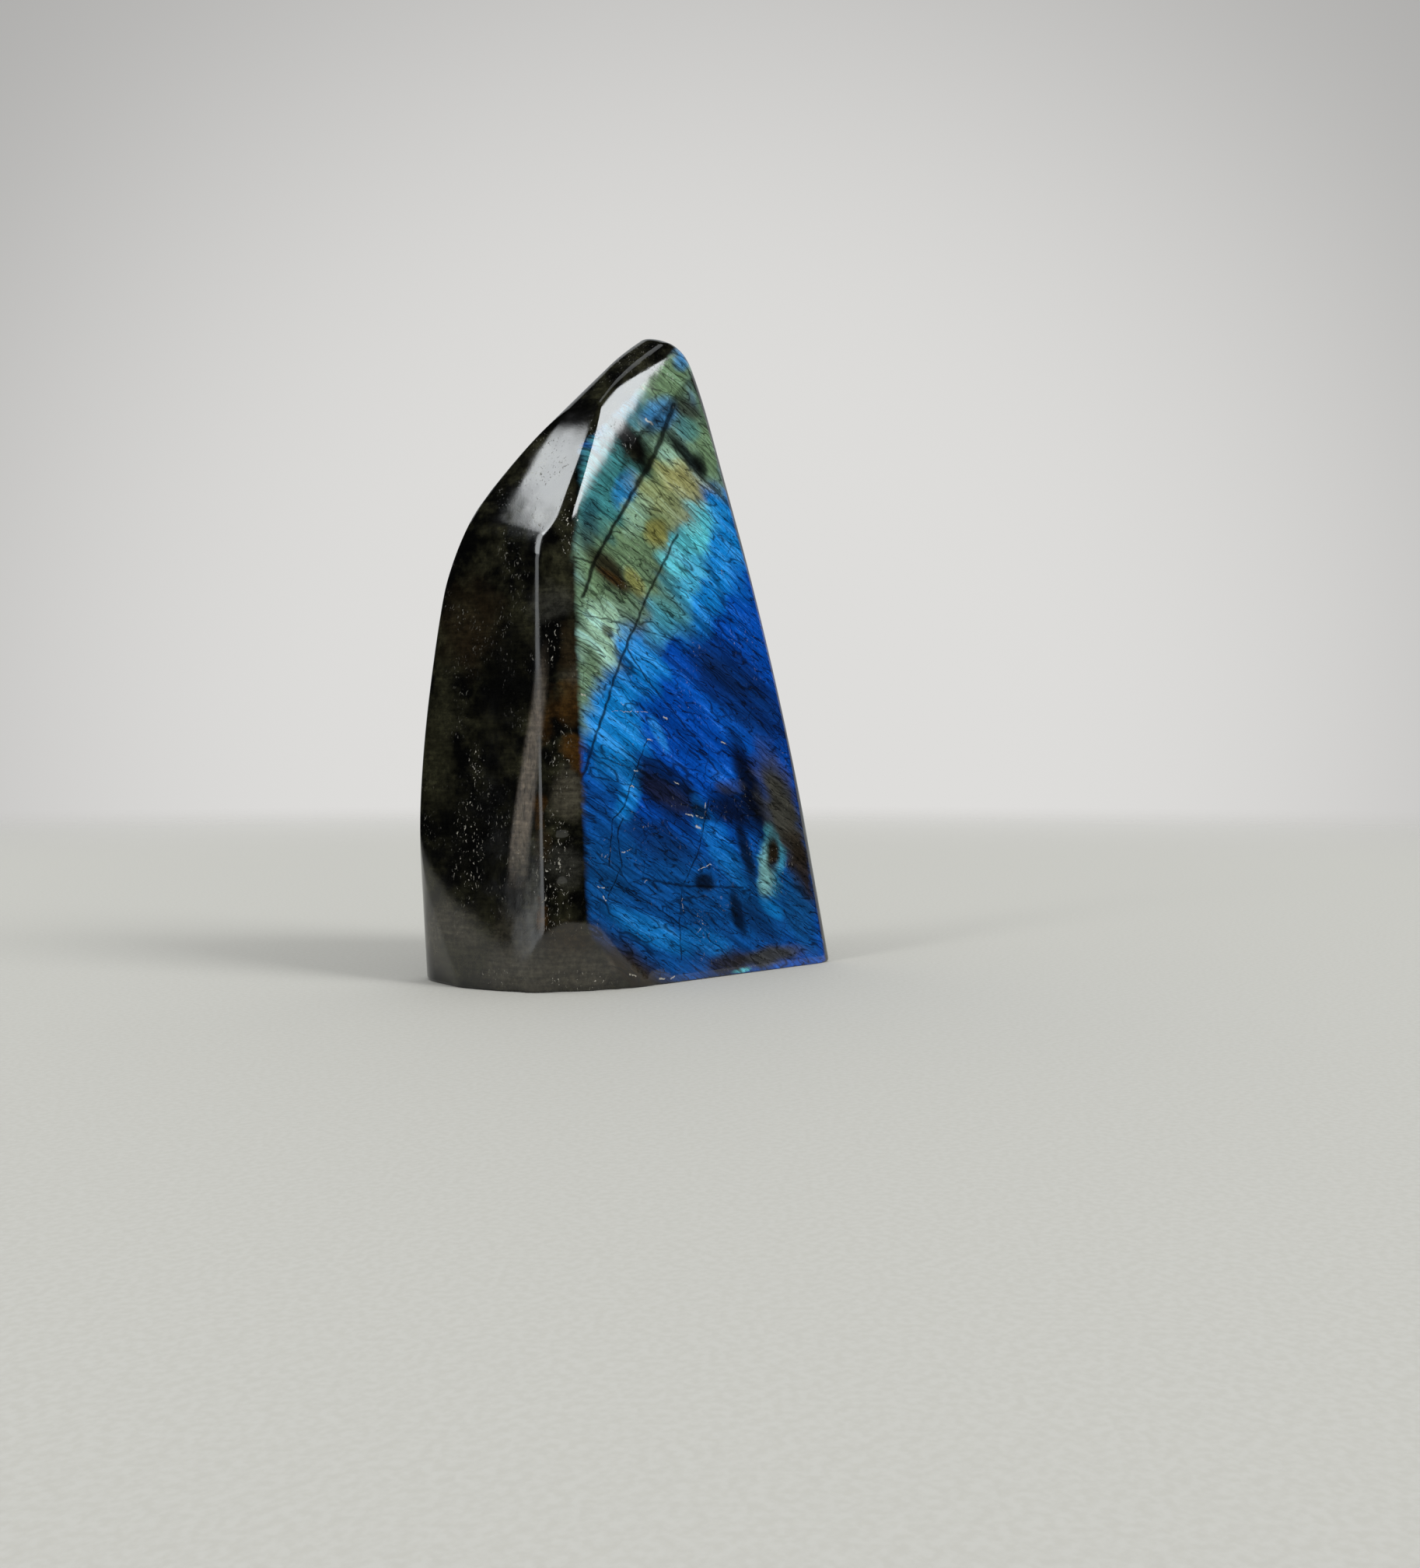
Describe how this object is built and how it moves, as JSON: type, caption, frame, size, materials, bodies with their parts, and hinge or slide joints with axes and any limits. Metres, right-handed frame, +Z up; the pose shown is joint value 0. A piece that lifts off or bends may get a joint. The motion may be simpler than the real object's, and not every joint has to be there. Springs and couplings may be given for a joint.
{
  "type": "polished labradorite freeform",
  "caption": "Upright tapering block of polished labradorite with a broad flat face that flashes blue, a rounded dark end and a flat base.",
  "frame": {"origin": "middle of the stone's box, on the surface that it stands on", "axes": "+Z up, -Y out of the broad flat face that shows the flash, -X towards the rounded dark end"},
  "size_m": [0.0629, 0.0312, 0.098],
  "materials": {
    "polished_labradorite": "polished"
  },
  "bodies": {
    "root": {"labradorite": "polished_labradorite"}
  },
  "joints": []
}
